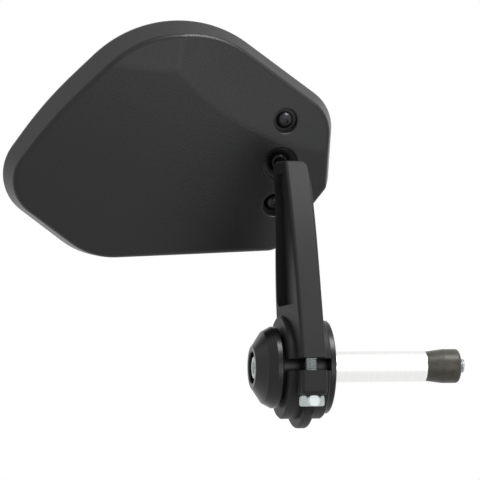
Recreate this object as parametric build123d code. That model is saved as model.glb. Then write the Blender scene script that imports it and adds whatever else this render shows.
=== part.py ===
from build123d import *
import os
from math import cos, radians, sin, sqrt, tan

# Motorcycle bar end mirror, right hand side, in millimetres.
# X runs along the handlebar and points inboard, Z is up along the pinch bolt, -Y faces forward.
# The origin lies on the bar axis, on the face that rests against the end of the handlebar.

# Running and seating clearances
RUNNING_CLEARANCE = 0.05
SEAT_CLEARANCE = 0.10
THREAD_CLEARANCE = 0.05
SIDE_CLEARANCE = 0.10
FIT_CLEARANCE = 0.25

# Fasteners
M6_R = 3.0
M6_HOLE_R = 3.3
M6_HEX_FLATS = 10.0
M6_NUT_HEIGHT = 5.0
M6_CAP_R = 5.0
M6_CAP_HEIGHT = 6.0
M6_SOCKET_FLATS = 5.0
M6_SOCKET_DEPTH = 3.2
M4_R = 2.0
M4_HOLE_R = 2.25
M4_BUTTON_R = 3.8
M4_BUTTON_HEIGHT = 2.2
M4_SOCKET_FLATS = 2.5
M4_SOCKET_DEPTH = 1.3
M4_NUT_FLATS = 7.0
M4_NUT_HEIGHT = 3.2
BOLT_TIP_CHAMFER = 0.6
HEX_CHAMFER = 0.5
TURNED_EDGE = 0.4

# Flanged bush that the clamp ring turns on
FLANGE_R = 19.5
FLANGE_T = 2.6
BUSH_R = 13.5
BUSH_PROUD = 1.4
TUBE_SEAT_DEPTH = 1.5
SPIGOT_SEAT_DEPTH = 6.0

# Clamp ring
RING_R = 21.6
RING_WIDTH = 17.6
RING_CHAMFER = 0.7
SPLIT_GAP = 5.2
RIB_R = 25.6
RIB_WIDTH = 4.7
RIB_ROUND = 1.2
RIB_START_DEG = 180.0
RIB_END_DEG = 300.0

# Pinch lug and bolt
LUG_WIDTH = 10.9
LUG_FRONT = 28.8
LUG_THICKNESS = 10.4
LUG_ROUND = 2.5
LUG_EDGE_ROUND = 1.5
PINCH_BOLT_SETBACK = 22.0
PINCH_BOLT_R = 2.5
PINCH_HOLE_R = 2.8
PINCH_HEX_FLATS = 9.3
PINCH_HEX_HEIGHT = 4.2
PINCH_THREAD_DEPTH = 13.0
PINCH_BOLT_REACH = 11.5
SPOT_FACE_R = 6.6

# Turned weight at the outboard end
WEIGHT_R = 17.1
WEIGHT_RIM_LENGTH = 2.3
WEIGHT_SHOULDER_R = 15.1
WEIGHT_SHOULDER_LENGTH = 3.7
WEIGHT_TIP_R = 8.8
WEIGHT_TIP_LENGTH = 4.3
HEAD_BORE_R = 6.7
HEAD_RECESS = 1.5
SPIGOT_R = 8.0
SPIGOT_LENGTH = 5.5
WASHER_R = 6.3
WASHER_T = 1.2

# Tube and rubber that go into the handlebar
TUBE_R = 6.5
TUBE_LENGTH = 42.8
RUBBER_NECK_R = 6.2
RUBBER_R = 7.2
RUBBER_TAPER_LENGTH = 7.3
RUBBER_LENGTH = 14.4
RUBBER_ROUND = 1.4
NUT_INSET = 0.4
BOLT_TIP_PROUD = 2.3

# Arm blade: its front edge sweeps back with height and its rear edge flares to the ball stud
ARM_FRONT_WIDTH = 10.2
ARM_STATIONS = [
    # height, front edge, rear edge, rear width
    (0.0, -29.0, 5.6, 17.2),
    (24.0, -23.2, 6.5, 17.4),
    (46.0, -17.6, 7.2, 17.2),
    (69.0, -10.2, 8.8, 15.8),
    (82.0, -4.6, 13.0, 14.8),
    (96.0, 2.6, 22.0, 14.2),
]
ARM_FRONT_ROUND = 1.5
ARM_REAR_ROUND = 2.0
ARM_BELOW_BALL = 4.4
ARM_TOP_RISE_DEG = 4.5
ARM_TOP_ROUND = 1.2
ARM_CROWN_ROUND = 3.0
POCKET_BOTTOM = 25.5
POCKET_TOP = 82.0
POCKET_FRONT_RIB = 2.6
POCKET_REAR_RIB = 3.2
POCKET_WEB = 8.6
POCKET_ROUND = 3.0

# Ball joint
BALL_BACK = 35.0
BALL_HEIGHT = 91.4
BALL_R = 5.5
NECK_R = 2.8
NECK_LENGTH = 22.0
COLLAR_R = 4.2
COLLAR_T = 1.6
STUD_R = 3.0
STUD_DEPTH = 9.0
SEAT_T = 1.4
FRONT_SEAT_OPEN_DEG = 54.0
FRONT_SEAT_END_DEG = 81.0
REAR_SEAT_START_DEG = 99.0
HEAD_TILT_DEG = 23.0

# Mirror head, in its own frame: origin at the ball, first axis inboard, second axis up the back,
# third axis out of the back along the mould draw
OUTLINE = [
    # across, up, corner radius
    (-81.2, -47.0, 34.0),
    (3.0, -43.2, 11.0),
    (24.9, -12.6, 7.0),
    (24.7, 21.7, 20.0),
    (-50.7, 74.9, 51.0),
    (-101.1, 23.2, 170.0),
    (-125.3, -13.5, 21.0),
]
RIM_DEPTH = 12.4
RIM_ROUND = 3.6
WALL_FOOT = 8.2
WALL_DRAFT_DEG = 16.0
BACK_CENTRE = (-42.0, 0.0)
BACK_HEIGHT = 7.8
BACK_RADIUS = 600.0
BACK_FACETS = [
    # across, up, heading and slope in degrees, radius
    (-8.0, 13.6, 56.0, 13.0, 1200.0),
    (-50.0, 41.5, 96.0, 12.0, 1200.0),
]
CREASE_ROUND = 16.0
BACK_EDGE_ROUND = 2.5
WALL_T = 2.8
LIP_T = 0.4
LEDGE_T = 2.2
GLASS_T = 2.0
GLASS_RECESS = 1.6
GLASS_RADIUS = 1400.0
TAPE_T = 0.8
TAPE_WIDTH = 2.0
HOLE_R = 7.2
HOLE_LEVEL = 4.6
SEAT_BOSS_R = 11.5
SCREW_POST_R = 6.0
SCREW_SPREAD = 18.6
SCREW_LEAN_DEG = 4.5
SCREW_FLOOR = 1.8
POCKET_HOLE_R = 5.0
HOLE_RIM_ROUND = 0.8
CLAMP_GAP = 0.8
PLATE_T = 3.0
PLATE_CUP_R = 10.0
PLATE_CUP_WALL = 2.4
PLATE_EAR_R = 5.6

# Places worked out from the sizes above
RING_INNER_X = -(FLANGE_T + SIDE_CLEARANCE)
RING_OUTER_X = RING_INNER_X - RING_WIDTH
ARM_X = (RING_INNER_X + RING_OUTER_X) / 2
BUSH_END_X = RING_OUTER_X - BUSH_PROUD
WEIGHT_TIP_X = BUSH_END_X - WEIGHT_RIM_LENGTH - WEIGHT_SHOULDER_LENGTH - WEIGHT_TIP_LENGTH
CAP_TOP_X = WEIGHT_TIP_X + HEAD_RECESS
CAP_BASE_X = CAP_TOP_X + M6_CAP_HEIGHT
WASHER_BASE_X = CAP_BASE_X + WASHER_T
TUBE_START_X = -TUBE_SEAT_DEPTH
TUBE_END_X = TUBE_START_X + TUBE_LENGTH + TUBE_SEAT_DEPTH
RUBBER_END_X = TUBE_END_X + RUBBER_LENGTH
LIP_INSET = RIM_ROUND + LIP_T
ARM_TOP = BALL_HEIGHT - ARM_BELOW_BALL
SPLIT_Z = SPLIT_GAP / 2
PINCH_SEAT_Z = -SPLIT_Z - LUG_THICKNESS
SEAT_INNER_R = BALL_R + SEAT_CLEARANCE
SEAT_OUTER_R = SEAT_INNER_R + SEAT_T
SOCKET_R = SEAT_OUTER_R + SEAT_CLEARANCE

BALL = Vector(ARM_X, BALL_BACK, BALL_HEIGHT)
BACK_NORMAL = Vector(0, -cos(radians(HEAD_TILT_DEG)), -sin(radians(HEAD_TILT_DEG)))
HEAD_PLANE = Plane(origin=BALL, x_dir=(1, 0, 0), z_dir=BACK_NORMAL)
STUD_SEAT = BALL + BACK_NORMAL * NECK_LENGTH


def turned(*points):
    """Solid turned about the bar axis from a half section of (x, radius) points."""
    return revolve(make_face(Polyline(*points, close=True)), Axis.X)


def turned_upright(*points):
    """Solid turned about the Z axis, or a frame's third axis, from (radius, height) points."""
    section = Plane.XZ * make_face(Polyline(*points, close=True))
    return revolve(section, Axis.Z)


def hex_along_x(flats, start, end):
    """Hexagonal prism about the bar axis."""
    section = Plane.YZ * RegularPolygon(flats / 2, 6, major_radius=False)
    return Pos(start, 0, 0) * extrude(section, end - start)


def hex_along_z(flats, start, end):
    """Hexagonal prism about the Z axis."""
    section = RegularPolygon(flats / 2, 6, major_radius=False)
    return Pos(0, 0, start) * extrude(section, end - start)


def rod_along_z(radius, start, end):
    """Round rod about the Z axis."""
    return Pos(0, 0, start) * extrude(Circle(radius), end - start)


def clamp_bush():
    """Flanged sleeve: the clamp ring turns on it and the bolt pulls it against the bar."""
    return turned(
        (BUSH_END_X, SPIGOT_R),
        (BUSH_END_X, BUSH_R),
        (-FLANGE_T, BUSH_R),
        (-FLANGE_T, FLANGE_R - TURNED_EDGE),
        (-FLANGE_T + TURNED_EDGE, FLANGE_R),
        (-TURNED_EDGE, FLANGE_R),
        (0, FLANGE_R - TURNED_EDGE),
        (0, TUBE_R + THREAD_CLEARANCE),
        (TUBE_START_X, TUBE_R + THREAD_CLEARANCE),
        (TUBE_START_X, M6_HOLE_R),
        (BUSH_END_X + SPIGOT_SEAT_DEPTH, M6_HOLE_R),
        (BUSH_END_X + SPIGOT_SEAT_DEPTH, SPIGOT_R),
    )


def bar_end_weight():
    """Turned weight with two cones, a bored tip for the bolt head and a spigot in the bush."""
    rim_x = BUSH_END_X - WEIGHT_RIM_LENGTH
    shoulder_x = rim_x - WEIGHT_SHOULDER_LENGTH
    spigot_x = BUSH_END_X + SPIGOT_LENGTH
    return turned(
        (WEIGHT_TIP_X + TURNED_EDGE, HEAD_BORE_R),
        (WEIGHT_TIP_X, HEAD_BORE_R + TURNED_EDGE),
        (WEIGHT_TIP_X, WEIGHT_TIP_R),
        (shoulder_x, WEIGHT_SHOULDER_R),
        (rim_x, WEIGHT_R),
        (BUSH_END_X - TURNED_EDGE, WEIGHT_R),
        (BUSH_END_X, WEIGHT_R - TURNED_EDGE),
        (BUSH_END_X, SPIGOT_R - RUNNING_CLEARANCE),
        (spigot_x, SPIGOT_R - RUNNING_CLEARANCE),
        (spigot_x, M6_HOLE_R),
        (WASHER_BASE_X, M6_HOLE_R),
        (WASHER_BASE_X, HEAD_BORE_R),
    )


def bolt_washer():
    """Plain washer in the floor of the bored tip."""
    return turned(
        (CAP_BASE_X, M6_HOLE_R),
        (CAP_BASE_X, WASHER_R),
        (WASHER_BASE_X, WASHER_R),
        (WASHER_BASE_X, M6_HOLE_R),
    )


def centre_bolt():
    """Socket head bolt that runs through the whole fitting and draws the nut up."""
    tip_x = RUBBER_END_X + BOLT_TIP_PROUD
    body = turned(
        (CAP_TOP_X, 0),
        (CAP_TOP_X, M6_CAP_R - BOLT_TIP_CHAMFER),
        (CAP_TOP_X + BOLT_TIP_CHAMFER, M6_CAP_R),
        (CAP_BASE_X, M6_CAP_R),
        (CAP_BASE_X, M6_R),
        (tip_x - BOLT_TIP_CHAMFER, M6_R),
        (tip_x, M6_R - BOLT_TIP_CHAMFER),
        (tip_x, 0),
    )
    return body - hex_along_x(M6_SOCKET_FLATS, CAP_TOP_X, CAP_TOP_X + M6_SOCKET_DEPTH)


def spacer_tube():
    """Aluminium tube between the flange and the rubber."""
    return turned(
        (TUBE_START_X, M6_HOLE_R),
        (TUBE_START_X, TUBE_R),
        (TUBE_END_X - TURNED_EDGE, TUBE_R),
        (TUBE_END_X, TUBE_R - TURNED_EDGE),
        (TUBE_END_X, M6_HOLE_R),
    )


def nut_span():
    """Inboard and outboard ends of the expander nut."""
    end = RUBBER_END_X - NUT_INSET
    return end - M6_NUT_HEIGHT, end


def rubber_expander():
    """Rubber plug, swollen towards its end, with a hexagonal pocket for the nut."""
    taper_x = TUBE_END_X + RUBBER_TAPER_LENGTH
    section = Polyline(
        (RUBBER_END_X, M6_HOLE_R),
        (TUBE_END_X, M6_HOLE_R),
        (TUBE_END_X, RUBBER_NECK_R),
        (taper_x, RUBBER_R),
        (RUBBER_END_X - RUBBER_ROUND, RUBBER_R),
    )
    nose = RadiusArc(section @ 1, (RUBBER_END_X, RUBBER_R - RUBBER_ROUND), RUBBER_ROUND)
    close = Line(nose @ 1, section @ 0)
    plug = revolve(make_face(section + nose + close), Axis.X)
    start, _ = nut_span()
    return plug - hex_along_x(M6_HEX_FLATS + 2 * THREAD_CLEARANCE, start, RUBBER_END_X)


def expander_nut():
    """Nut that the bolt draws into the rubber."""
    start, end = nut_span()
    nut = hex_along_x(M6_HEX_FLATS, start, end)
    return nut - turned((start, 0), (start, M6_R + THREAD_CLEARANCE),
                        (end, M6_R + THREAD_CLEARANCE), (end, 0))


def arm_section(height, front, rear, rear_width):
    """Level section of the blade: narrow at the front, wider at the rear, with round corners."""
    half_front = ARM_FRONT_WIDTH / 2
    half_rear = rear_width / 2
    outline = Polyline(
        (ARM_X - half_front, front),
        (ARM_X + half_front, front),
        (ARM_X + half_rear, rear),
        (ARM_X - half_rear, rear),
        close=True,
    )
    section = make_face(outline)
    section = fillet(section.vertices().sort_by(Axis.Y)[:2], ARM_FRONT_ROUND)
    section = fillet(section.vertices().sort_by(Axis.Y)[-2:], ARM_REAR_ROUND)
    return Plane.XY.offset(height) * section


def arm_edges(height):
    """Front and rear edge of the blade at a height, between the stations."""
    for low, high in zip(ARM_STATIONS, ARM_STATIONS[1:]):
        if low[0] <= height <= high[0]:
            share = (height - low[0]) / (high[0] - low[0])
            front = low[1] + share * (high[1] - low[1])
            rear = low[2] + share * (high[2] - low[2])
            return front, rear
    raise ValueError("height is off the blade")


def arm_blade():
    """Swept blade, cut off square to the stud, with a rounded crown and top."""
    blade = loft([arm_section(*station) for station in ARM_STATIONS])
    seat = Vector(STUD_SEAT.Y, STUD_SEAT.Z)
    along = Vector(BACK_NORMAL.Z, -BACK_NORMAL.Y)
    rise = tan(radians(ARM_TOP_RISE_DEG))
    reach = (ARM_TOP + rise * seat.X - seat.Y) / (along.Y - rise * along.X)
    crown = seat + along * reach
    foot = seat - along * ARM_TOP
    fore = ARM_STATIONS[0][1] * 2
    cap = make_face(Polyline((fore, ARM_TOP + rise * fore), (crown.X, crown.Y), (foot.X, foot.Y),
                             (fore, foot.Y), close=True))
    corner = cap.vertices().sort_by_distance((crown.X, crown.Y, 0))[0]
    cap = fillet(corner, ARM_CROWN_ROUND)
    keep = extrude(Plane.YZ * cap, RING_WIDTH * 2, both=True)
    blade = blade & (Pos(ARM_X, 0, 0) * keep)
    top = blade.faces().sort_by(Axis.Z)[-1]
    return fillet(top.edges(), ARM_TOP_ROUND)


def side_pocket():
    """Lightening pocket between the front and rear ribs, one cutter for both sides."""
    heights = [POCKET_BOTTOM] + [s[0] for s in ARM_STATIONS if POCKET_BOTTOM < s[0] < POCKET_TOP]
    heights = heights + [POCKET_TOP]
    front = [(arm_edges(z)[0] + POCKET_FRONT_RIB, z) for z in heights]
    rear = [(arm_edges(z)[1] - POCKET_REAR_RIB, z) for z in reversed(heights)]
    outline = make_face(Polyline(*front, *rear, close=True))
    ends = outline.vertices().sort_by(Axis.Y)
    outline = fillet(ends[:2] + ends[-2:], POCKET_ROUND)
    cutter = Plane.YZ * outline
    left = Pos(ARM_X - POCKET_WEB / 2, 0, 0) * extrude(cutter, -RING_WIDTH)
    right = Pos(ARM_X + POCKET_WEB / 2, 0, 0) * extrude(cutter, RING_WIDTH)
    return left + right


def clamp_ring():
    """Solid disc of the ring with the stiffening rib under it and the lower pinch lug."""
    disc = turned(
        (RING_OUTER_X, 0),
        (RING_OUTER_X, RING_R - RING_CHAMFER),
        (RING_OUTER_X + RING_CHAMFER, RING_R),
        (RING_INNER_X - RING_CHAMFER, RING_R),
        (RING_INNER_X, RING_R - RING_CHAMFER),
        (RING_INNER_X, 0),
    )
    rib_face = Pos(ARM_X, RIB_R / 2) * Rectangle(RIB_WIDTH, RIB_R)
    rib_face = fillet(rib_face.vertices().sort_by(Axis.Y)[-2:], RIB_ROUND)
    rib = revolve(rib_face, Axis.X, RIB_END_DEG - RIB_START_DEG)
    rib = Rot(RIB_START_DEG, 0, 0) * rib
    lug_face = Pos(-LUG_FRONT / 2, PINCH_SEAT_Z / 2) * Rectangle(LUG_FRONT, -PINCH_SEAT_Z)
    front = lug_face.vertices().sort_by(Axis.X)[:2].sort_by(Axis.Y)[0]
    lug_face = fillet(front, LUG_ROUND)
    lug = Pos(ARM_X, 0, 0) * extrude(Plane.YZ * lug_face, LUG_WIDTH / 2, both=True)
    upright = lug.edges().filter_by(Axis.Z).sort_by(Axis.Y)[:2]
    lug = fillet(upright, LUG_EDGE_ROUND)
    return disc + rib + lug


def arm():
    """One casting: blade, clamp ring, pinch lugs and rib, then its bores, split and pockets."""
    body = arm_blade() - side_pocket() + clamp_ring()
    bore = turned((RING_OUTER_X, 0), (RING_OUTER_X, BUSH_R + RUNNING_CLEARANCE),
                  (RING_INNER_X, BUSH_R + RUNNING_CLEARANCE), (RING_INNER_X, 0))
    split = Pos(ARM_X, -LUG_FRONT, 0) * Box(RING_WIDTH * 2, LUG_FRONT * 2, SPLIT_GAP)
    pinch = Pos(ARM_X, -PINCH_BOLT_SETBACK, 0)
    clear_hole = pinch * rod_along_z(PINCH_HOLE_R, PINCH_SEAT_Z, 0)
    thread_hole = pinch * rod_along_z(PINCH_BOLT_R + THREAD_CLEARANCE, 0, SPLIT_Z + PINCH_THREAD_DEPTH)
    spot_face = pinch * rod_along_z(SPOT_FACE_R, -2 * RIB_R, PINCH_SEAT_Z)
    stud_hole = HEAD_PLANE * rod_along_z(STUD_R + THREAD_CLEARANCE, NECK_LENGTH,
                                         NECK_LENGTH + STUD_DEPTH + THREAD_CLEARANCE)
    return body - bore - split - clear_hole - thread_hole - spot_face - stud_hole


def pinch_bolt():
    """Hexagon head bolt from below, through the lower lug into the thread of the upper one."""
    base = PINCH_SEAT_Z - PINCH_HEX_HEIGHT
    flat_r = PINCH_HEX_FLATS / 2
    corner_r = flat_r / cos(radians(30))
    head = hex_along_z(PINCH_HEX_FLATS, base, PINCH_SEAT_Z) & turned_upright(
        (0, base),
        (flat_r, base),
        (corner_r, base + HEX_CHAMFER),
        (corner_r, PINCH_SEAT_Z - HEX_CHAMFER),
        (flat_r, PINCH_SEAT_Z),
        (0, PINCH_SEAT_Z),
    )
    shank = rod_along_z(PINCH_BOLT_R, PINCH_SEAT_Z, SPLIT_Z + PINCH_BOLT_REACH)
    return Pos(ARM_X, -PINCH_BOLT_SETBACK, 0) * (head + shank)


def ball_stud():
    """Ball, neck, collar and threaded tail in one turning."""
    tail = NECK_LENGTH + STUD_DEPTH
    neck = turned_upright(
        (0, 0),
        (NECK_R, 0),
        (NECK_R, NECK_LENGTH - COLLAR_T),
        (COLLAR_R, NECK_LENGTH - COLLAR_T),
        (COLLAR_R, NECK_LENGTH),
        (STUD_R, NECK_LENGTH),
        (STUD_R, tail),
        (0, tail),
    )
    return HEAD_PLANE * (neck + Sphere(BALL_R))


def seat_ring(start_deg, end_deg):
    """Zone of the spherical liner between two angles from the stud axis."""
    shell = Sphere(SEAT_OUTER_R) - Sphere(SEAT_INNER_R)
    reach = 2 * SEAT_OUTER_R
    wedge = turned_upright(
        (0, 0),
        (reach * sin(radians(start_deg)), reach * cos(radians(start_deg))),
        (reach * sin(radians(end_deg)), reach * cos(radians(end_deg))),
    )
    return HEAD_PLANE * (shell & wedge)


def front_seat():
    """Liner on the side of the neck."""
    return seat_ring(FRONT_SEAT_OPEN_DEG, FRONT_SEAT_END_DEG)


def rear_seat():
    """Cup liner behind the ball."""
    reach = 2 * SEAT_OUTER_R
    shell = Sphere(SEAT_OUTER_R) - Sphere(SEAT_INNER_R)
    angle = radians(REAR_SEAT_START_DEG)
    wedge = turned_upright((0, 0), (reach * sin(angle), reach * cos(angle)),
                           (reach * sin(angle), -reach), (0, -reach))
    return HEAD_PLANE * (shell & wedge)


def head_outline(inset):
    """Outline of the mirror head at the rim, moved inwards by the inset."""
    face = make_face(Polyline(*[(across, up) for across, up, _ in OUTLINE], close=True))
    for across, up, radius in OUTLINE:
        corner = face.vertices().sort_by_distance((across, up, 0))[0]
        face = fillet(corner, radius)
    return offset(face, -inset) if inset else face


def back_level(across, up):
    """Height of the dome above the ball centre at a place on the back."""
    reach = (across - BACK_CENTRE[0]) ** 2 + (up - BACK_CENTRE[1]) ** 2
    return BACK_HEIGHT - BACK_RADIUS + sqrt(BACK_RADIUS ** 2 - reach)


def facet_drum(across, up, heading_deg, slope_deg, radius):
    """Drum that cuts one sloping facet of the back, from its crease outwards."""
    slope = radians(slope_deg)
    heading = radians(heading_deg)
    setback = radius * sin(slope)
    drum = Rot(0, 0, heading_deg - 90) * Rot(0, 90, 0) * Cylinder(radius, 2 * radius)
    return Pos(across - setback * cos(heading), up - setback * sin(heading),
               back_level(across, up) - radius * cos(slope)) * drum


def shared_edges(faces, others):
    """Edges where a face of the first list meets a face of the second."""
    first = ShapeList(edge for face in faces for edge in face.edges())
    second = ShapeList(edge for face in others for edge in face.edges())
    return ShapeList(edge for edge in first if edge in second)


def back_form():
    """Flat dome with two facets and soft creases between them, wider than the head."""
    across, up = BACK_CENTRE
    depth = 4 * (BACK_HEIGHT + RIM_DEPTH)
    slab = Pos(across, up, BACK_HEIGHT) * Box(BACK_RADIUS / 2, BACK_RADIUS / 2, depth)
    form = slab & (Pos(across, up, BACK_HEIGHT - BACK_RADIUS) * Sphere(BACK_RADIUS))
    for facet in BACK_FACETS:
        form = form & facet_drum(*facet)
    curved = form.faces().filter_by(GeomType.PLANE, reverse=True)
    creases = ShapeList()
    for place, face in enumerate(curved):
        creases.extend(shared_edges([face], curved[place + 1:]))
    return fillet(creases, CREASE_ROUND)


def head_block():
    """Outside of the head: drafted wall under the dome, and a skirt rounded to the rim."""
    widest = Pos(0, 0, -WALL_FOOT) * head_outline(0)
    wall = extrude(widest, WALL_FOOT + BACK_HEIGHT + WALL_T, dir=(0, 0, 1), taper=WALL_DRAFT_DEG)
    body = wall & back_form()
    foot = body.faces().sort_by(Axis.Z)[:1]
    sides = ShapeList(face for face in body.faces() if shared_edges([face], foot))
    back = ShapeList(face for face in body.faces() if face not in sides and face not in foot)
    body = fillet(shared_edges(back, sides), BACK_EDGE_ROUND)
    skirt = extrude(widest, RIM_DEPTH - WALL_FOOT, dir=(0, 0, -1))
    rim = skirt.faces().sort_by(Axis.Z)[0]
    return body + fillet(rim.edges(), RIM_ROUND)


def screw_places():
    """The two clamp screws either side of the ball."""
    lean = radians(SCREW_LEAN_DEG)
    across = SCREW_SPREAD * sin(lean)
    up = SCREW_SPREAD * cos(lean)
    return [Pos(across, up, 0), Pos(-across, -up, 0)]


def glass_sphere(inward):
    """Sphere of the glass face towards the rider, or one that lies inward of it."""
    across, up = BACK_CENTRE
    reach = max(sqrt((x - across) ** 2 + (y - up) ** 2) for x, y, _ in OUTLINE)
    bulge = GLASS_RADIUS - sqrt(GLASS_RADIUS ** 2 - reach ** 2)
    crown = -RIM_DEPTH + GLASS_RECESS - bulge
    return Pos(across, up, crown + GLASS_RADIUS) * Sphere(GLASS_RADIUS - inward)


def head_prism(face):
    """Straight prism of an outline, from behind the rim to above the back."""
    return extrude(Pos(0, 0, -2 * RIM_DEPTH) * face, 2 * (RIM_DEPTH + BACK_HEIGHT), dir=(0, 0, 1))


def hole_rims(shell):
    """Edges where the ball hole and the screw pockets come out of the back."""
    walls = shell.faces().filter_by(GeomType.CYLINDER)
    holes = [face for face in walls if face.radius in (HOLE_R, POCKET_HOLE_R)]
    rounds = [face.edges().filter_by(GeomType.LINE, reverse=True).sort_by(Axis.Z) for face in holes]
    return ShapeList(edge for edges in rounds for edge in edges[1:])


def mirror_housing():
    """Moulded shell with a glass ledge, the ball seat boss and two screw posts."""
    outer = head_block()
    inner = head_prism(head_outline(LIP_INSET + LEDGE_T)) & (Pos(0, 0, -WALL_T) * back_form())
    glass_bed = head_prism(head_outline(LIP_INSET)) - glass_sphere(GLASS_T + TAPE_T)
    shell = outer - inner - glass_bed
    boss = rod_along_z(SEAT_BOSS_R, 0, BACK_HEIGHT)
    for place in screw_places():
        boss = boss + place * rod_along_z(SCREW_POST_R, 0, BACK_HEIGHT)
    shell = shell + (boss & outer)
    throat = SOCKET_R * cos(radians(FRONT_SEAT_OPEN_DEG))
    throat_r = SOCKET_R * sin(radians(FRONT_SEAT_OPEN_DEG))
    flare = turned_upright((0, 0), (throat_r, throat), (HOLE_R, HOLE_LEVEL),
                           (HOLE_R, 2 * BACK_HEIGHT), (0, 2 * BACK_HEIGHT))
    shell = shell - Sphere(SOCKET_R) - flare
    for place in screw_places():
        shell = shell - place * rod_along_z(M4_HOLE_R, 0, BACK_HEIGHT)
        shell = shell - place * rod_along_z(POCKET_HOLE_R, SCREW_FLOOR, 2 * BACK_HEIGHT)
    return HEAD_PLANE * fillet(hole_rims(shell), HOLE_RIM_ROUND)


def mirror_glass():
    """Bent glass of even thickness that sits in the lip of the housing."""
    slab = head_prism(head_outline(LIP_INSET + FIT_CLEARANCE))
    return HEAD_PLANE * ((slab & glass_sphere(0)) - glass_sphere(GLASS_T))


def glass_tape():
    """Adhesive ring between the glass and its ledge."""
    ring = head_outline(LIP_INSET + FIT_CLEARANCE) - head_outline(LIP_INSET + TAPE_WIDTH)
    slab = head_prism(ring)
    return HEAD_PLANE * ((slab & glass_sphere(GLASS_T)) - glass_sphere(GLASS_T + TAPE_T))


def clamp_plate():
    """Plate with a cup for the rear liner and two ears for the screws."""
    top = -CLAMP_GAP
    plate = rod_along_z(PLATE_CUP_R, -SOCKET_R - PLATE_CUP_WALL, top)
    for place in screw_places():
        plate = plate + place * rod_along_z(PLATE_EAR_R, top - PLATE_T, top)
    lean = Rot(0, 0, -SCREW_LEAN_DEG)
    bar = lean * Box(2 * PLATE_EAR_R, 2 * SCREW_SPREAD, PLATE_T)
    plate = plate + Pos(0, 0, top - PLATE_T / 2) * bar
    plate = plate - Sphere(SOCKET_R)
    for place in screw_places():
        plate = plate - place * rod_along_z(M4_HOLE_R, top - PLATE_T, top)
    return HEAD_PLANE * plate


def nut_levels():
    """Top and bottom of the lock nuts behind the plate."""
    top = -CLAMP_GAP - PLATE_T
    return top - M4_NUT_HEIGHT, top


def clamp_screws():
    """Two button head screws with hexagon sockets, from the back of the housing."""
    low, _ = nut_levels()
    crown = SCREW_FLOOR + M4_BUTTON_HEIGHT
    cap_radius = (M4_BUTTON_R ** 2 + M4_BUTTON_HEIGHT ** 2) / (2 * M4_BUTTON_HEIGHT)
    head = rod_along_z(M4_BUTTON_R, SCREW_FLOOR, crown)
    head = head & (Pos(0, 0, crown - cap_radius) * Sphere(cap_radius))
    head = head - hex_along_z(M4_SOCKET_FLATS, crown - M4_SOCKET_DEPTH, crown)
    screw = head + rod_along_z(M4_R, low - M4_R / 2, SCREW_FLOOR)
    return Compound([HEAD_PLANE * place * screw for place in screw_places()])


def clamp_nuts():
    """Two lock nuts that hold the plate."""
    low, top = nut_levels()
    nut = hex_along_z(M4_NUT_FLATS, low, top) - rod_along_z(M4_R + THREAD_CLEARANCE, low, top)
    return Compound([HEAD_PLANE * place * nut for place in screw_places()])


def main():
    os.makedirs("parts", exist_ok=True)
    for piece in (clamp_bush, bar_end_weight, bolt_washer, centre_bolt, spacer_tube, rubber_expander,
                  expander_nut, arm, pinch_bolt, ball_stud, front_seat, rear_seat, mirror_housing,
                  mirror_glass, glass_tape, clamp_plate, clamp_screws, clamp_nuts):
        solid = piece()
        export_step(solid, f"parts/{piece.__name__}.step")


main()
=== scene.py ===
# %% [markdown]
# # A motorcycle bar end mirror
# The mirror stands on a cast arm that clamps round a bush at the end of the handlebar. The solids come
# from CAD at their real size, in metres, so this lesson is mostly about their finish: grained plastic,
# black anodising, zinc plate, turned aluminium, rubber and silvered glass. Only two threads, one bolt
# head and one corner of the arm get a new shape.

import math

import bmesh
import bpy
from mathutils import Matrix, Vector


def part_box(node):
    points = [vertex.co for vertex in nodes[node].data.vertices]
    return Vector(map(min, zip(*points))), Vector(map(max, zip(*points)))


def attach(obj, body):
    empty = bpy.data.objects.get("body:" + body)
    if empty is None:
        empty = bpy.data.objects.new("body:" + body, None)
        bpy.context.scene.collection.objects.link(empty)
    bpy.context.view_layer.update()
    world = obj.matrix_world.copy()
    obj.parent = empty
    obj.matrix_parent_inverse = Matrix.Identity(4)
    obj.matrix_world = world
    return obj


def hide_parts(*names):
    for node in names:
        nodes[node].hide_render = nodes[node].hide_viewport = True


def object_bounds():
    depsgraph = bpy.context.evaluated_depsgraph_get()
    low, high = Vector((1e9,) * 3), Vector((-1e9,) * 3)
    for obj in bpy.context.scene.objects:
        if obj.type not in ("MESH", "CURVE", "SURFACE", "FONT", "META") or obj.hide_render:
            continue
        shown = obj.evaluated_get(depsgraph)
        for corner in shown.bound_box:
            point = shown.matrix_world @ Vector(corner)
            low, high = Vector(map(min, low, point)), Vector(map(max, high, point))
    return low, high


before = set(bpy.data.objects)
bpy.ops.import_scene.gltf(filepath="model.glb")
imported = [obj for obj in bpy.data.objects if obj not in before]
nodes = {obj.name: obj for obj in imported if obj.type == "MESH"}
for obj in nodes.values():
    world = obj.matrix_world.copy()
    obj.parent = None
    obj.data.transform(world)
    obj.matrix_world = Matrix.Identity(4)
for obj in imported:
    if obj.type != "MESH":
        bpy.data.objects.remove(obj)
cad_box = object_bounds()
MM = 0.001

# %% [markdown]
# ## Camera
# The picture was taken with a long lens from the front, turned a little to the outboard side, and from
# just below the bar. A long lens keeps the clamp and the mirror at nearly one scale. The camera is built
# from the direction it looks in and from where the origin of the part falls in a picture of 480 by 480
# pixels, which is easier to tune than three rotations.

# %% Camera
IMAGE_SIDE = 480
VIEW_TURN = math.radians(11.7)
VIEW_RISE = math.radians(-5.0)
VIEW_DISTANCE = 1400 * MM
PIXEL_SIZE = 0.42 * MM
ORIGIN_PIXEL = (326.2, 367.0)
SENSOR_WIDTH = 36


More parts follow.
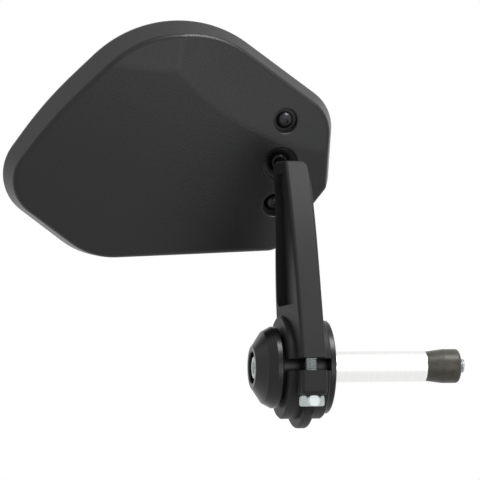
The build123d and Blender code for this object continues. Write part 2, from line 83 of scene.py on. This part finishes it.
def photo_camera():
    """A camera that sees the origin of the part at the wanted pixel, with the bar level."""
    ahead = Vector((math.sin(VIEW_TURN) * math.cos(VIEW_RISE),
                    math.cos(VIEW_TURN) * math.cos(VIEW_RISE),
                    -math.sin(VIEW_RISE)))
    right = Vector((math.cos(VIEW_TURN), -math.sin(VIEW_TURN), 0))
    up = right.cross(ahead)
    level = Matrix.Rotation(math.atan2(up.x, right.x), 3, -ahead)
    right = level @ right
    up = level @ up
    across = (ORIGIN_PIXEL[0] - IMAGE_SIDE / 2) * PIXEL_SIZE
    above = (IMAGE_SIDE / 2 - ORIGIN_PIXEL[1]) * PIXEL_SIZE
    data = bpy.data.cameras.new("photo_camera")
    data.sensor_width = SENSOR_WIDTH
    data.lens = SENSOR_WIDTH * VIEW_DISTANCE / (PIXEL_SIZE * IMAGE_SIDE)
    camera = bpy.data.objects.new("photo_camera", data)
    place = Matrix((right, up, -ahead)).transposed().to_4x4()
    place.translation = -right * across - up * above - ahead * VIEW_DISTANCE
    camera.matrix_world = place
    bpy.context.scene.collection.objects.link(camera)
    bpy.context.scene.camera = camera
    return camera


camera = photo_camera()
print(f"lens {camera.data.lens:.0f} mm, camera height {camera.location.z / MM:.0f} mm")

# %% [markdown]
# ## Node helpers
# Every finish is a small node tree. One function adds a node with its settings and links, and one
# turns the hex colour that a painter would name into the linear numbers that the renderer needs. The
# sockets of a Mix node share their names, so its colour sockets go by their numbers.

# %% Node helpers
MIX_A = 6
MIX_B = 7
MIX_RESULT = 2


def linear(hex_colour):
    """Linear RGBA of an sRGB hex colour."""
    shares = [int(hex_colour[i:i + 2], 16) / 255 for i in (1, 3, 5)]
    return [s / 12.92 if s <= 0.04045 else ((s + 0.055) / 1.055) ** 2.4 for s in shares] + [1.0]


def add_node(tree, kind, sockets=None, **settings):
    """One node: settings are its own values, sockets are numbers or the outputs that feed it."""
    node = tree.nodes.new(kind)
    for name, value in settings.items():
        setattr(node, name, value)
    for key, value in (sockets or {}).items():
        if isinstance(value, bpy.types.NodeSocket):
            tree.links.new(value, node.inputs[key])
        else:
            node.inputs[key].default_value = value
    return node


def start_finish(name, sockets):
    """A new material with constants on its shader; returns it, its tree, shader and coordinates."""
    material = bpy.data.materials.new(name)
    material.use_nodes = True
    tree = material.node_tree
    shader = tree.nodes["Principled BSDF"]
    for key, value in sockets.items():
        shader.inputs[key].default_value = value
    place = add_node(tree, "ShaderNodeTexCoord").outputs["Object"]
    return material, tree, shader, place


def per_metre(millimetres):
    """Texture scale whose features are about this many millimetres wide."""
    return 1 / (millimetres * MM)


print("node helpers ready")

# %% [markdown]
# ## Grained plastic of the housing
# The back is a moulding in black ABS. Its mould was spark eroded, which leaves a fine even grain that
# scatters light, so the surface looks dark grey with a broad soft sheen. A fine noise makes the bump, and
# a slow one shifts the colour a little, as moulded plastic does where the melt cooled unevenly.

# %% Spark grained ABS
# A spark grain is finer than this, and it is drawn coarser so that it shows.
GRAIN_WIDTH = 0.55
FLOW_WIDTH = 35


def spark_grained_abs():
    """Matt black ABS: dark, with a soft broad sheen broken up by the grain."""
    material, tree, shader, place = start_finish("spark_grained_abs", {
        "Roughness": 0.36, "IOR": 1.5, "Specular IOR Level": 0.31})
    flow = add_node(tree, "ShaderNodeTexNoise", {
        "Vector": place, "Scale": per_metre(FLOW_WIDTH), "Detail": 2.0})
    colour = add_node(tree, "ShaderNodeMix", {
        "Factor": flow.outputs["Fac"], MIX_A: linear("#151616"), MIX_B: linear("#1d1d1d"),
    }, data_type="RGBA")
    tree.links.new(colour.outputs[MIX_RESULT], shader.inputs["Base Color"])
    grain = add_node(tree, "ShaderNodeTexNoise", {
        "Vector": place, "Scale": per_metre(GRAIN_WIDTH), "Detail": 3.0})
    bump = add_node(tree, "ShaderNodeBump", {
        "Height": grain.outputs["Fac"], "Strength": 0.5, "Distance": 0.16 * MM})
    tree.links.new(bump.outputs["Normal"], shader.inputs["Normal"])
    return material


plastic = spark_grained_abs()
print(plastic.name)

# %% [markdown]
# ## Satin anodising of the arm
# The arm is a casting that was bead blasted and then anodised black. Blasting leaves small soft dents,
# so the bump is rounder and shallower than the grain of the plastic. The dyed oxide is duller than the
# plastic but a little paler, so the front face of the arm stands out against the back of the mirror.

# %% Satin black anodising
# The dents of blasting are finer than this, and they are drawn coarser so that they show.
BLAST_WIDTH = 0.4
DYE_WIDTH = 17.5


def satin_anodised():
    """Bead blasted black anodised aluminium: an even satin, a little paler than the plastic."""
    material, tree, shader, place = start_finish("satin_black_anodised", {
        "Roughness": 0.5, "IOR": 1.6, "Specular IOR Level": 0.13})
    dye = add_node(tree, "ShaderNodeTexNoise", {
        "Vector": place, "Scale": per_metre(DYE_WIDTH), "Detail": 3.0})
    colour = add_node(tree, "ShaderNodeMix", {
        "Factor": dye.outputs["Fac"], MIX_A: linear("#202021"), MIX_B: linear("#2a2a2b"),
    }, data_type="RGBA")
    tree.links.new(colour.outputs[MIX_RESULT], shader.inputs["Base Color"])
    dents = add_node(tree, "ShaderNodeTexNoise", {
        "Vector": place, "Scale": per_metre(BLAST_WIDTH), "Detail": 1.5})
    bump = add_node(tree, "ShaderNodeBump", {
        "Height": dents.outputs["Fac"], "Strength": 0.25, "Distance": 0.06 * MM})
    tree.links.new(bump.outputs["Normal"], shader.inputs["Normal"])
    return material


satin = satin_anodised()
print(satin.name)

# %% [markdown]
# ## Turned surfaces
# The weight at the bar end, the flanged bush and the tube were turned on a lathe, and the tool left fine
# rings round the bar axis. A noise that is fed with the place along the axis and the distance from it can
# only change from ring to ring, which is just what a lathe does.

# %% Turned surfaces
# The rings of a finishing cut are finer than this, and they are drawn coarser so that they show.
RING_WIDTH = 0.35


def turning_rings(tree, place, width):
    """Height of lathe rings round the bar axis, which is the X axis."""
    parts = add_node(tree, "ShaderNodeSeparateXYZ", {"Vector": place})
    across = add_node(tree, "ShaderNodeCombineXYZ", {
        "Y": parts.outputs["Y"], "Z": parts.outputs["Z"]})
    radius = add_node(tree, "ShaderNodeVectorMath", {0: across.outputs[0]}, operation="LENGTH")
    ring = add_node(tree, "ShaderNodeCombineXYZ", {
        "X": parts.outputs["X"], "Y": radius.outputs["Value"]})
    noise = add_node(tree, "ShaderNodeTexNoise", {
        "Vector": ring.outputs[0], "Scale": per_metre(width), "Detail": 2.0})
    return noise.outputs["Fac"]


def gloss_anodised_turning():
    """Black anodised over a turned surface: a soft gloss with faint rings in it."""
    material, tree, shader, place = start_finish("gloss_black_anodised", {
        "Base Color": linear("#0e0e0f"), "Roughness": 0.3, "IOR": 1.6, "Specular IOR Level": 0.23})
    bump = add_node(tree, "ShaderNodeBump", {
        "Height": turning_rings(tree, place, RING_WIDTH), "Strength": 0.18, "Distance": 0.02 * MM})
    tree.links.new(bump.outputs["Normal"], shader.inputs["Normal"])
    return material


def bright_turned_aluminium():
    """Bare aluminium from the lathe: bright, with rings that stretch its highlights."""
    material, tree, shader, place = start_finish("bright_turned_aluminium", {
        "Metallic": 1.0, "Roughness": 0.26})
    rings = turning_rings(tree, place, RING_WIDTH)
    colour = add_node(tree, "ShaderNodeMix", {
        "Factor": rings, MIX_A: linear("#e4e5e4"), MIX_B: linear("#f2f2f0"),
    }, data_type="RGBA")
    tree.links.new(colour.outputs[MIX_RESULT], shader.inputs["Base Color"])
    bump = add_node(tree, "ShaderNodeBump", {
        "Height": rings, "Strength": 0.2, "Distance": 0.03 * MM})
    tree.links.new(bump.outputs["Normal"], shader.inputs["Normal"])
    return material


gloss = gloss_anodised_turning()
aluminium = bright_turned_aluminium()
print(gloss.name, aluminium.name)

# %% [markdown]
# ## Fasteners
# The bolts, nuts, the washer and the clamp plate are steel with bright zinc plate, which is a little blue
# and dulls in soft clouds. The small screws in the back are black oxide steel, and the ball stud is
# polished black under a film of grease.

# %% Fastener finishes
CLOUD_WIDTH = 2.5


def zinc_plated_steel():
    """Zinc on steel: pale, slightly blue, with a cloudy gloss."""
    material, tree, shader, place = start_finish("zinc_plated_steel", {"Metallic": 1.0})
    clouds = add_node(tree, "ShaderNodeTexNoise", {
        "Vector": place, "Scale": per_metre(CLOUD_WIDTH), "Detail": 4.0})
    colour = add_node(tree, "ShaderNodeMix", {
        "Factor": clouds.outputs["Fac"], MIX_A: linear("#a3acad"), MIX_B: linear("#c1c6c5"),
    }, data_type="RGBA")
    tree.links.new(colour.outputs[MIX_RESULT], shader.inputs["Base Color"])
    gloss_range = add_node(tree, "ShaderNodeMapRange", {
        "Value": clouds.outputs["Fac"], "To Min": 0.36, "To Max": 0.52})
    tree.links.new(gloss_range.outputs["Result"], shader.inputs["Roughness"])
    return material


def black_oxide_steel():
    """Oiled black oxide: dark metal with a dull gloss."""
    material, tree, shader, place = start_finish("black_oxide_steel", {
        "Metallic": 0.6, "Roughness": 0.28})
    film = add_node(tree, "ShaderNodeTexNoise", {
        "Vector": place, "Scale": per_metre(CLOUD_WIDTH), "Detail": 3.0})
    colour = add_node(tree, "ShaderNodeMix", {
        "Factor": film.outputs["Fac"], MIX_A: linear("#222224"), MIX_B: linear("#37373b"),
    }, data_type="RGBA")
    tree.links.new(colour.outputs[MIX_RESULT], shader.inputs["Base Color"])
    return material


def polished_black_steel():
    """Polished black ball: very dark, with a tight highlight that the grease blurs in places."""
    material, tree, shader, place = start_finish("polished_black_steel", {
        "Base Color": linear("#080808"), "Specular IOR Level": 0.2})
    grease = add_node(tree, "ShaderNodeTexNoise", {
        "Vector": place, "Scale": per_metre(CLOUD_WIDTH), "Detail": 2.0})
    gloss_range = add_node(tree, "ShaderNodeMapRange", {
        "Value": grease.outputs["Fac"], "To Min": 0.16, "To Max": 0.3})
    tree.links.new(gloss_range.outputs["Result"], shader.inputs["Roughness"])
    return material


zinc = zinc_plated_steel()
oxide = black_oxide_steel()
polished = polished_black_steel()
print(zinc.name, oxide.name, polished.name)

# %% [markdown]
# ## Rubber, glass and the hidden plastics
# The plug that swells inside the handlebar is moulded rubber, with a grey bloom on a smooth skin that
# shows a soft highlight. The glass is silvered on its rear face, which a metal shader with almost no
# roughness shows well enough, because glass this thin hardly shifts a reflection. The liners are acetal
# and the glass is held by foam tape.

# %% Rubber, glass and plastics
BLOOM_WIDTH = 3.0
# The cells of the tape are finer than this, and they are drawn coarser so that they show.
FOAM_WIDTH = 0.8


def moulded_rubber():
    """Black rubber with a grey bloom: dark, slightly uneven, with a soft highlight along it."""
    material, tree, shader, place = start_finish("moulded_rubber", {
        "Roughness": 0.34, "Specular IOR Level": 0.18})
    bloom = add_node(tree, "ShaderNodeTexNoise", {
        "Vector": place, "Scale": per_metre(BLOOM_WIDTH), "Detail": 5.0})
    colour = add_node(tree, "ShaderNodeMix", {
        "Factor": bloom.outputs["Fac"], MIX_A: linear("#353430"), MIX_B: linear("#5d5a52"),
    }, data_type="RGBA")
    tree.links.new(colour.outputs[MIX_RESULT], shader.inputs["Base Color"])
    bump = add_node(tree, "ShaderNodeBump", {
        "Height": bloom.outputs["Fac"], "Strength": 0.2, "Distance": 0.1 * MM})
    tree.links.new(bump.outputs["Normal"], shader.inputs["Normal"])
    return material


def silvered_glass():
    """Mirror glass: a clean reflection with a trace of green from the glass."""
    material, tree, shader, place = start_finish("silvered_glass", {
        "Metallic": 1.0, "Roughness": 0.02})
    tint = add_node(tree, "ShaderNodeTexNoise", {
        "Vector": place, "Scale": per_metre(FLOW_WIDTH), "Detail": 1.0})
    colour = add_node(tree, "ShaderNodeMix", {
        "Factor": tint.outputs["Fac"], MIX_A: linear("#dde3e1"), MIX_B: linear("#e3e8e7"),
    }, data_type="RGBA")
    tree.links.new(colour.outputs[MIX_RESULT], shader.inputs["Base Color"])
    return material


def foam_tape():
    """Closed cell foam tape: black and quite without gloss."""
    material, tree, shader, place = start_finish("foam_tape", {
        "Base Color": linear("#151515"), "Roughness": 0.95})
    cells = add_node(tree, "ShaderNodeTexVoronoi", {
        "Vector": place, "Scale": per_metre(FOAM_WIDTH)})
    bump = add_node(tree, "ShaderNodeBump", {
        "Height": cells.outputs["Distance"], "Strength": 0.5, "Distance": 0.1 * MM})
    tree.links.new(bump.outputs["Normal"], shader.inputs["Normal"])
    return material


def black_acetal():
    """Moulded acetal: black with a waxy gloss."""
    material, tree, shader, place = start_finish("black_acetal", {
        "Base Color": linear("#161616"), "Roughness": 0.34})
    wax = add_node(tree, "ShaderNodeTexNoise", {
        "Vector": place, "Scale": per_metre(CLOUD_WIDTH), "Detail": 2.0})
    bump = add_node(tree, "ShaderNodeBump", {
        "Height": wax.outputs["Fac"], "Strength": 0.1, "Distance": 0.05 * MM})
    tree.links.new(bump.outputs["Normal"], shader.inputs["Normal"])
    return material


rubber = moulded_rubber()
glass = silvered_glass()
foam = foam_tape()
acetal = black_acetal()
print(rubber.name, glass.name, foam.name, acetal.name)

# %% [markdown]
# ## Putting the finishes on
# A CAD node whose shape is right stays and only gets a better material in its slot. The housing, the
# glass, the arm and the two long bolts are not in this list: copies take their place further down.

# %% Finishes of the CAD nodes
FINISHES = {
    "clamp_bush": gloss,
    "bar_end_weight": gloss,
    "spacer_tube": aluminium,
    "bolt_washer": zinc,
    "expander_nut": zinc,
    "clamp_plate": zinc,
    "clamp_nuts": zinc,
    "clamp_screws": oxide,
    "ball_stud": polished,
    "rubber_expander": rubber,
    "glass_tape": foam,
    "front_seat": acetal,
    "rear_seat": acetal,
}
for name, finish in FINISHES.items():
    nodes[name].material_slots[0].material = finish
print(f"{len(FINISHES)} nodes finished")

# %% [markdown]
# ## Threads
# The pinch bolt shows its thread in the split of the clamp, and the long bolt shows a few turns past
# the rubber. The CAD bolts have plain shanks, because a solver has no use for a thread. A thread is one
# profile that climbs a pitch in each turn, so spin gets a small step along the axis at every step of
# the turn. Then two planes cut the ends off square, and each cut is filled.

# %% Threaded rod
M5_R = 2.5 * MM
M5_PITCH = 0.8 * MM
STEPS_PER_TURN = 36
LEAD_TURNS = 2
THREAD_DEPTH_IN_PITCHES = 0.61
# Each point is a share of the thread's depth and a share of its pitch.
THREAD_PROFILE = [(0, 0.0), (0, 0.08), (1, 0.42), (1, 0.58), (0, 0.92), (0, 1.0)]
WELD = 0.001 * MM
CUT_TOLERANCE = WELD / 10
SAMPLE_LENGTH = 5 * MM


def cut_square(shape, place, outward):
    """Cuts everything beyond a plane off and closes the cut."""
    geometry = list(shape.verts) + list(shape.edges) + list(shape.faces)
    cut = bmesh.ops.bisect_plane(shape, geom=geometry, dist=CUT_TOLERANCE, plane_co=place,
                                 plane_no=outward, clear_outer=True)
    rim = [item for item in cut["geom_cut"] if isinstance(item, bmesh.types.BMEdge)]
    bmesh.ops.holes_fill(shape, edges=rim)


def threaded_rod(start, end, radius, pitch):
    """A closed rod with a thread all the way from one point to the other."""
    axis = (end - start).normalized()
    side = axis.orthogonal().normalized()
    depth = THREAD_DEPTH_IN_PITCHES * pitch
    first = start - axis * LEAD_TURNS * pitch
    shape = bmesh.new()
    profile = [shape.verts.new(first + side * (radius - depth + depth * out) + axis * pitch * along)
               for out, along in THREAD_PROFILE]
    runs = [shape.edges.new(pair) for pair in zip(profile, profile[1:])]
    turns = math.ceil((end - start).length / pitch) + LEAD_TURNS + 1
    bmesh.ops.spin(shape, geom=profile + runs, cent=first, axis=axis, angle=turns * math.tau,
                   steps=turns * STEPS_PER_TURN, dvec=axis * pitch / STEPS_PER_TURN)
    bmesh.ops.remove_doubles(shape, verts=shape.verts, dist=WELD)
    cut_square(shape, start, -axis)
    cut_square(shape, end, axis)
    bmesh.ops.recalc_face_normals(shape, faces=shape.faces)
    return shape


sample = threaded_rod(Vector((0, 0, 0)), Vector((0, 0, SAMPLE_LENGTH)), M5_R, M5_PITCH)
print(len(sample.faces), "faces,", sum(not edge.is_manifold for edge in sample.edges), "open edges")
sample.free()

# %% [markdown]
# ## Bolts
# A bolt is the CAD one up to where its thread starts, and a threaded rod from there to the tip. The
# rod starts a little inside the shank, where nothing shows. The new bolt hides its CAD node and moves
# with the same body. The head of the long bolt sits almost level with the tip of the cone, so its outer
# end is moved out a little.

# %% Bolts
M6_R = 3.0 * MM
M6_PITCH = 1.0 * MM
JOIN_DEPTH = 0.5 * MM
SHARP_ANGLE = math.radians(32)


def threaded_bolt(node, body, start, tip, radius, pitch):
    """Copy of a CAD bolt with a real thread from the start to the tip."""
    axis = (tip - start).normalized()
    shape = bmesh.new()
    shape.from_mesh(nodes[node].data)
    bmesh.ops.remove_doubles(shape, verts=shape.verts, dist=WELD)
    cut_square(shape, start, axis)
    rod = threaded_rod(start - axis * JOIN_DEPTH, tip, radius - WELD, pitch)
    mesh = bpy.data.meshes.new(f"{node}_threaded")
    rod.to_mesh(mesh)
    shape.from_mesh(mesh)
    shape.to_mesh(mesh)
    open_edges = sum(not edge.is_manifold for edge in shape.edges)
    rod.free()
    shape.free()
    mesh.shade_smooth()
    mesh.set_sharp_from_angle(angle=SHARP_ANGLE)
    mesh.materials.clear()
    mesh.materials.append(zinc)
    bolt = bpy.data.objects.new(f"{node}_threaded", mesh)
    bpy.context.scene.collection.objects.link(bolt)
    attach(bolt, body)
    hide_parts(node)
    print(f"{bolt.name}: {len(mesh.polygons)} faces, {open_edges} open edges")
    return bolt


def stand_head_out(bolt, depth, distance):
    """Moves the outer end of a bolt head, with its socket, outward along the bar."""
    verts = bolt.data.vertices
    end = min(vert.co.x for vert in verts)
    for vert in verts:
        if vert.co.x < end + depth:
            vert.co.x -= distance


PINCH_PLAIN = 12 * MM
low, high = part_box("pinch_bolt")
pinch_axis = (low + high) / 2
threaded_bolt("pinch_bolt", "arm", Vector((pinch_axis.x, pinch_axis.y, low.z + PINCH_PLAIN)),
              Vector((pinch_axis.x, pinch_axis.y, high.z)), M5_R, M5_PITCH)

CENTRE_THREAD = 12 * MM
HEAD_DEPTH = 4 * MM
HEAD_STAND_OUT = 0.7 * MM
low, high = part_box("centre_bolt")
centre = threaded_bolt("centre_bolt", "bar_fitting", Vector((high.x - CENTRE_THREAD, 0, 0)),
                       Vector((high.x, 0, 0)), M6_R, M6_PITCH)
stand_head_out(centre, HEAD_DEPTH, HEAD_STAND_OUT)

# %% [markdown]
# ## Copies that keep the CAD shading
# A CAD mesh carries a normal at every corner of every triangle, taken from the true surface, which
# shades long triangles and small rounds cleanly. Welding a copy would lose them, so they are stored in
# a layer of the copy first and put back at the end. At the pole of a dome the true surface has no
# normal, and a wrong one shows as a bright fleck, so there the corner takes the triangle's own.

# %% Welded copies
NORMAL_LAYER = "cad_normal"
POLE_ANGLE = math.radians(20)


def welded_copy(node):
    """Welded bmesh of a CAD node, with its CAD normals in a layer and those at poles mended."""
    source = nodes[node].data
    shape = bmesh.new()
    shape.from_mesh(source)
    stored = shape.loops.layers.float_vector.new(NORMAL_LAYER)
    mended = 0
    for face, polygon in zip(shape.faces, source.polygons):
        for loop, corner in zip(face.loops, polygon.loop_indices):
            normal = source.corner_normals[corner].vector
            if normal.angle(polygon.normal, 0) > POLE_ANGLE:
                normal = polygon.normal
                mended += 1
            loop[stored] = normal
    bmesh.ops.remove_doubles(shape, verts=shape.verts, dist=WELD)
    print(f"{node}: {len(shape.faces)} faces, {mended} corners mended")
    return shape, stored


def dressed_piece(shape, node, body, finish):
    """Object of a welded copy that stands for its CAD node, with the stored normals put back."""
    mesh = bpy.data.meshes.new(f"{node}_dressed")
    shape.to_mesh(mesh)
    shape.free()
    mesh.shade_smooth()
    stored = mesh.attributes[NORMAL_LAYER]
    mesh.normals_split_custom_set([item.vector for item in stored.data])
    mesh.attributes.remove(mesh.attributes[NORMAL_LAYER])
    mesh.materials.clear()
    mesh.materials.append(finish)
    piece = bpy.data.objects.new(f"{node}_dressed", mesh)
    bpy.context.scene.collection.objects.link(piece)
    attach(piece, body)
    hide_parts(node)
    return piece


HEAD_COPIES = {
    "mirror_housing": (plastic, "moulded_shell"),
    "mirror_glass": (glass, "mirror_glass"),
}
for node, (finish, slot) in HEAD_COPIES.items():
    head_copy, _ = welded_copy(node)
    dressed_piece(head_copy, node, "mirror_head", finish)

# %% [markdown]
# ## The arm's top corner
# The top of the arm is rounded off on the side towards the bar, and the edge below it catches a line of
# light. A row of planes that all touch one round cuts the corner in small steps, much as a file would.
# The new faces get normals that point straight out from the middle of the round, so they shade as one.

# %% Rounded arm
CORNER_ROUND = 3.2 * MM
CORNER_STEPS = 12
NEAR_TOP = 12 * MM
FACING_COSINE = 0.9
# A stored normal is one long, and a corner that a cut made has none, which reads as zero.
SHORTEST_NORMAL = 0.5
UPWARD = Vector((0, 0, 1))
TOWARDS_BAR = Vector((1, 0, 0))


def largest_face(faces, direction):
    """The largest of the faces that look nearly in a direction."""
    facing = [face for face in faces if face.normal.dot(direction) > FACING_COSINE]
    return max(facing, key=lambda face: face.calc_area())


def round_corner(shape, stored):
    """Cuts a round along the edge between the top of the arm and its side towards the bar."""
    top_level = max(vert.co.z for vert in shape.verts)
    near_top = [face for face in shape.faces if face.calc_center_median().z > top_level - NEAR_TOP]
    top = largest_face(near_top, UPWARD)
    side = largest_face(near_top, TOWARDS_BAR)
    up = top.normal.copy()
    out = side.normal.copy()
    up_reach = up.dot(top.verts[0].co) - CORNER_ROUND
    out_reach = out.dot(side.verts[0].co) - CORNER_ROUND
    lean = up.dot(out)
    spread = 1 - lean * lean
    middle = up * ((up_reach - lean * out_reach) / spread) + out * ((out_reach - lean * up_reach) / spread)
    for step in range(1, CORNER_STEPS):
        outward = up.slerp(out, step / CORNER_STEPS)
        cut_square(shape, middle + outward * CORNER_ROUND, outward)
    axis = up.cross(out).normalized()
    for face in shape.faces:
        for loop in face.loops:
            if loop[stored].length < SHORTEST_NORMAL:
                offset = loop.vert.co - middle
                loop[stored] = (offset - axis * offset.dot(axis)).normalized()


arm_copy, arm_normals = welded_copy("arm")
round_corner(arm_copy, arm_normals)
print(sum(not edge.is_manifold for edge in arm_copy.edges), "open edges on the arm")
dressed_piece(arm_copy, "arm", "arm", satin)

# %% [markdown]
# ## Light and floor
# The object was shot against white. A soft key light stands above the front of the arm, a weak wide one
# stands low in front, where the two upper facets of the back mirror it, and a third lights the rear but
# stays out of reflections, so that the mirror is clean. The world is white for the camera and in
# reflections and much dimmer for the light it sheds, so black finishes stay black. The floor lies well
# below the part, because the camera looks up a little, and it is round, so it has no corner to show. It is
# white in reflections too, so that bright metal shows the same white all round.

# %% World
AMBIENT_STRENGTH = 0.2
WHITE_STRENGTH = 1.0


def reflected_rays(tree):
    """A Light Path node, and an output that is 1 for rays from a shiny or through a clear surface."""
    rays = add_node(tree, "ShaderNodeLightPath")
    reflected = add_node(tree, "ShaderNodeMath", {
        0: rays.outputs["Is Glossy Ray"], 1: rays.outputs["Is Transmission Ray"]}, operation="MAXIMUM")
    return rays, reflected.outputs[0]


def studio_world():
    """White surroundings for the camera and for reflections, soft grey light for the rest."""
    world = bpy.data.worlds.new("studio")
    bpy.context.scene.world = world
    world.use_nodes = True
    tree = world.node_tree
    output = tree.nodes["World Output"]
    rays, reflected = reflected_rays(tree)
    shown = add_node(tree, "ShaderNodeMath", {
        0: rays.outputs["Is Camera Ray"], 1: reflected}, operation="MAXIMUM")
    ambient = add_node(tree, "ShaderNodeBackground", {
        "Color": linear("#ffffff"), "Strength": AMBIENT_STRENGTH})
    white = add_node(tree, "ShaderNodeBackground", {
        "Color": linear("#ffffff"), "Strength": WHITE_STRENGTH})
    mixed = add_node(tree, "ShaderNodeMixShader", {
        0: shown.outputs[0], 1: ambient.outputs[0], 2: white.outputs[0]})
    tree.links.new(mixed.outputs[0], output.inputs["Surface"])
    return world


print(studio_world().name)

# %% Lights
AIM = (cad_box[0] + cad_box[1]) / 2
# Each light has its place and side in metres and its power in watts.
SOFTBOXES = {
    "key_softbox": ((0.3, -0.45, 0.75), 0.4, 8.8),
    "low_front_softbox": ((0.28, -1.28, -0.2), 0.7, 3.1),
    "rear_softbox": ((0.2, 1.0, 0.4), 0.7, 6.0),
}


def soft_light(name, place, side, power):
    """A square studio light that faces the middle of the part."""
    data = bpy.data.lights.new(name, "AREA")
    data.size = side
    data.energy = power
    light = bpy.data.objects.new(name, data)
    light.location = Vector(place)
    light.rotation_euler = (AIM - light.location).to_track_quat("-Z", "Y").to_euler()
    bpy.context.scene.collection.objects.link(light)
    return light


lights = {name: soft_light(name, *settings) for name, settings in SOFTBOXES.items()}
lights["rear_softbox"].visible_glossy = False
print(len(lights), "lights")

# %% Floor
FLOOR_DROP = 600 * MM
FLOOR_RADIUS = 1050 * MM
FLOOR_SEGMENTS = 128


def pale_studio_floor():
    """Pale matt floor material that reflections show as white; it isn't sampled as a lamp."""
    material, tree, shader, _ = start_finish("pale_floor", {
        "Base Color": linear("#f4f4f4"), "Roughness": 0.9})
    _, reflected = reflected_rays(tree)
    white = add_node(tree, "ShaderNodeEmission", {
        "Color": linear("#ffffff"), "Strength": WHITE_STRENGTH})
    mixed = add_node(tree, "ShaderNodeMixShader", {
        0: reflected, 1: shader.outputs[0], 2: white.outputs[0]})
    tree.links.new(mixed.outputs[0], tree.nodes["Material Output"].inputs["Surface"])
    material.cycles.emission_sampling = "NONE"
    return material


def round_floor():
    """A plain round floor below the part."""
    shape = bmesh.new()
    bmesh.ops.create_circle(shape, cap_ends=True, segments=FLOOR_SEGMENTS, radius=FLOOR_RADIUS)
    bmesh.ops.translate(shape, verts=shape.verts, vec=(0, 0, -FLOOR_DROP))
    mesh = bpy.data.meshes.new("floor")
    shape.to_mesh(mesh)
    shape.free()
    mesh.materials.append(pale_studio_floor())
    floor = bpy.data.objects.new("floor", mesh)
    bpy.context.scene.collection.objects.link(floor)
    return floor


print(round_floor().name)

# %% Colour view
bpy.context.scene.view_settings.view_transform = "Standard"
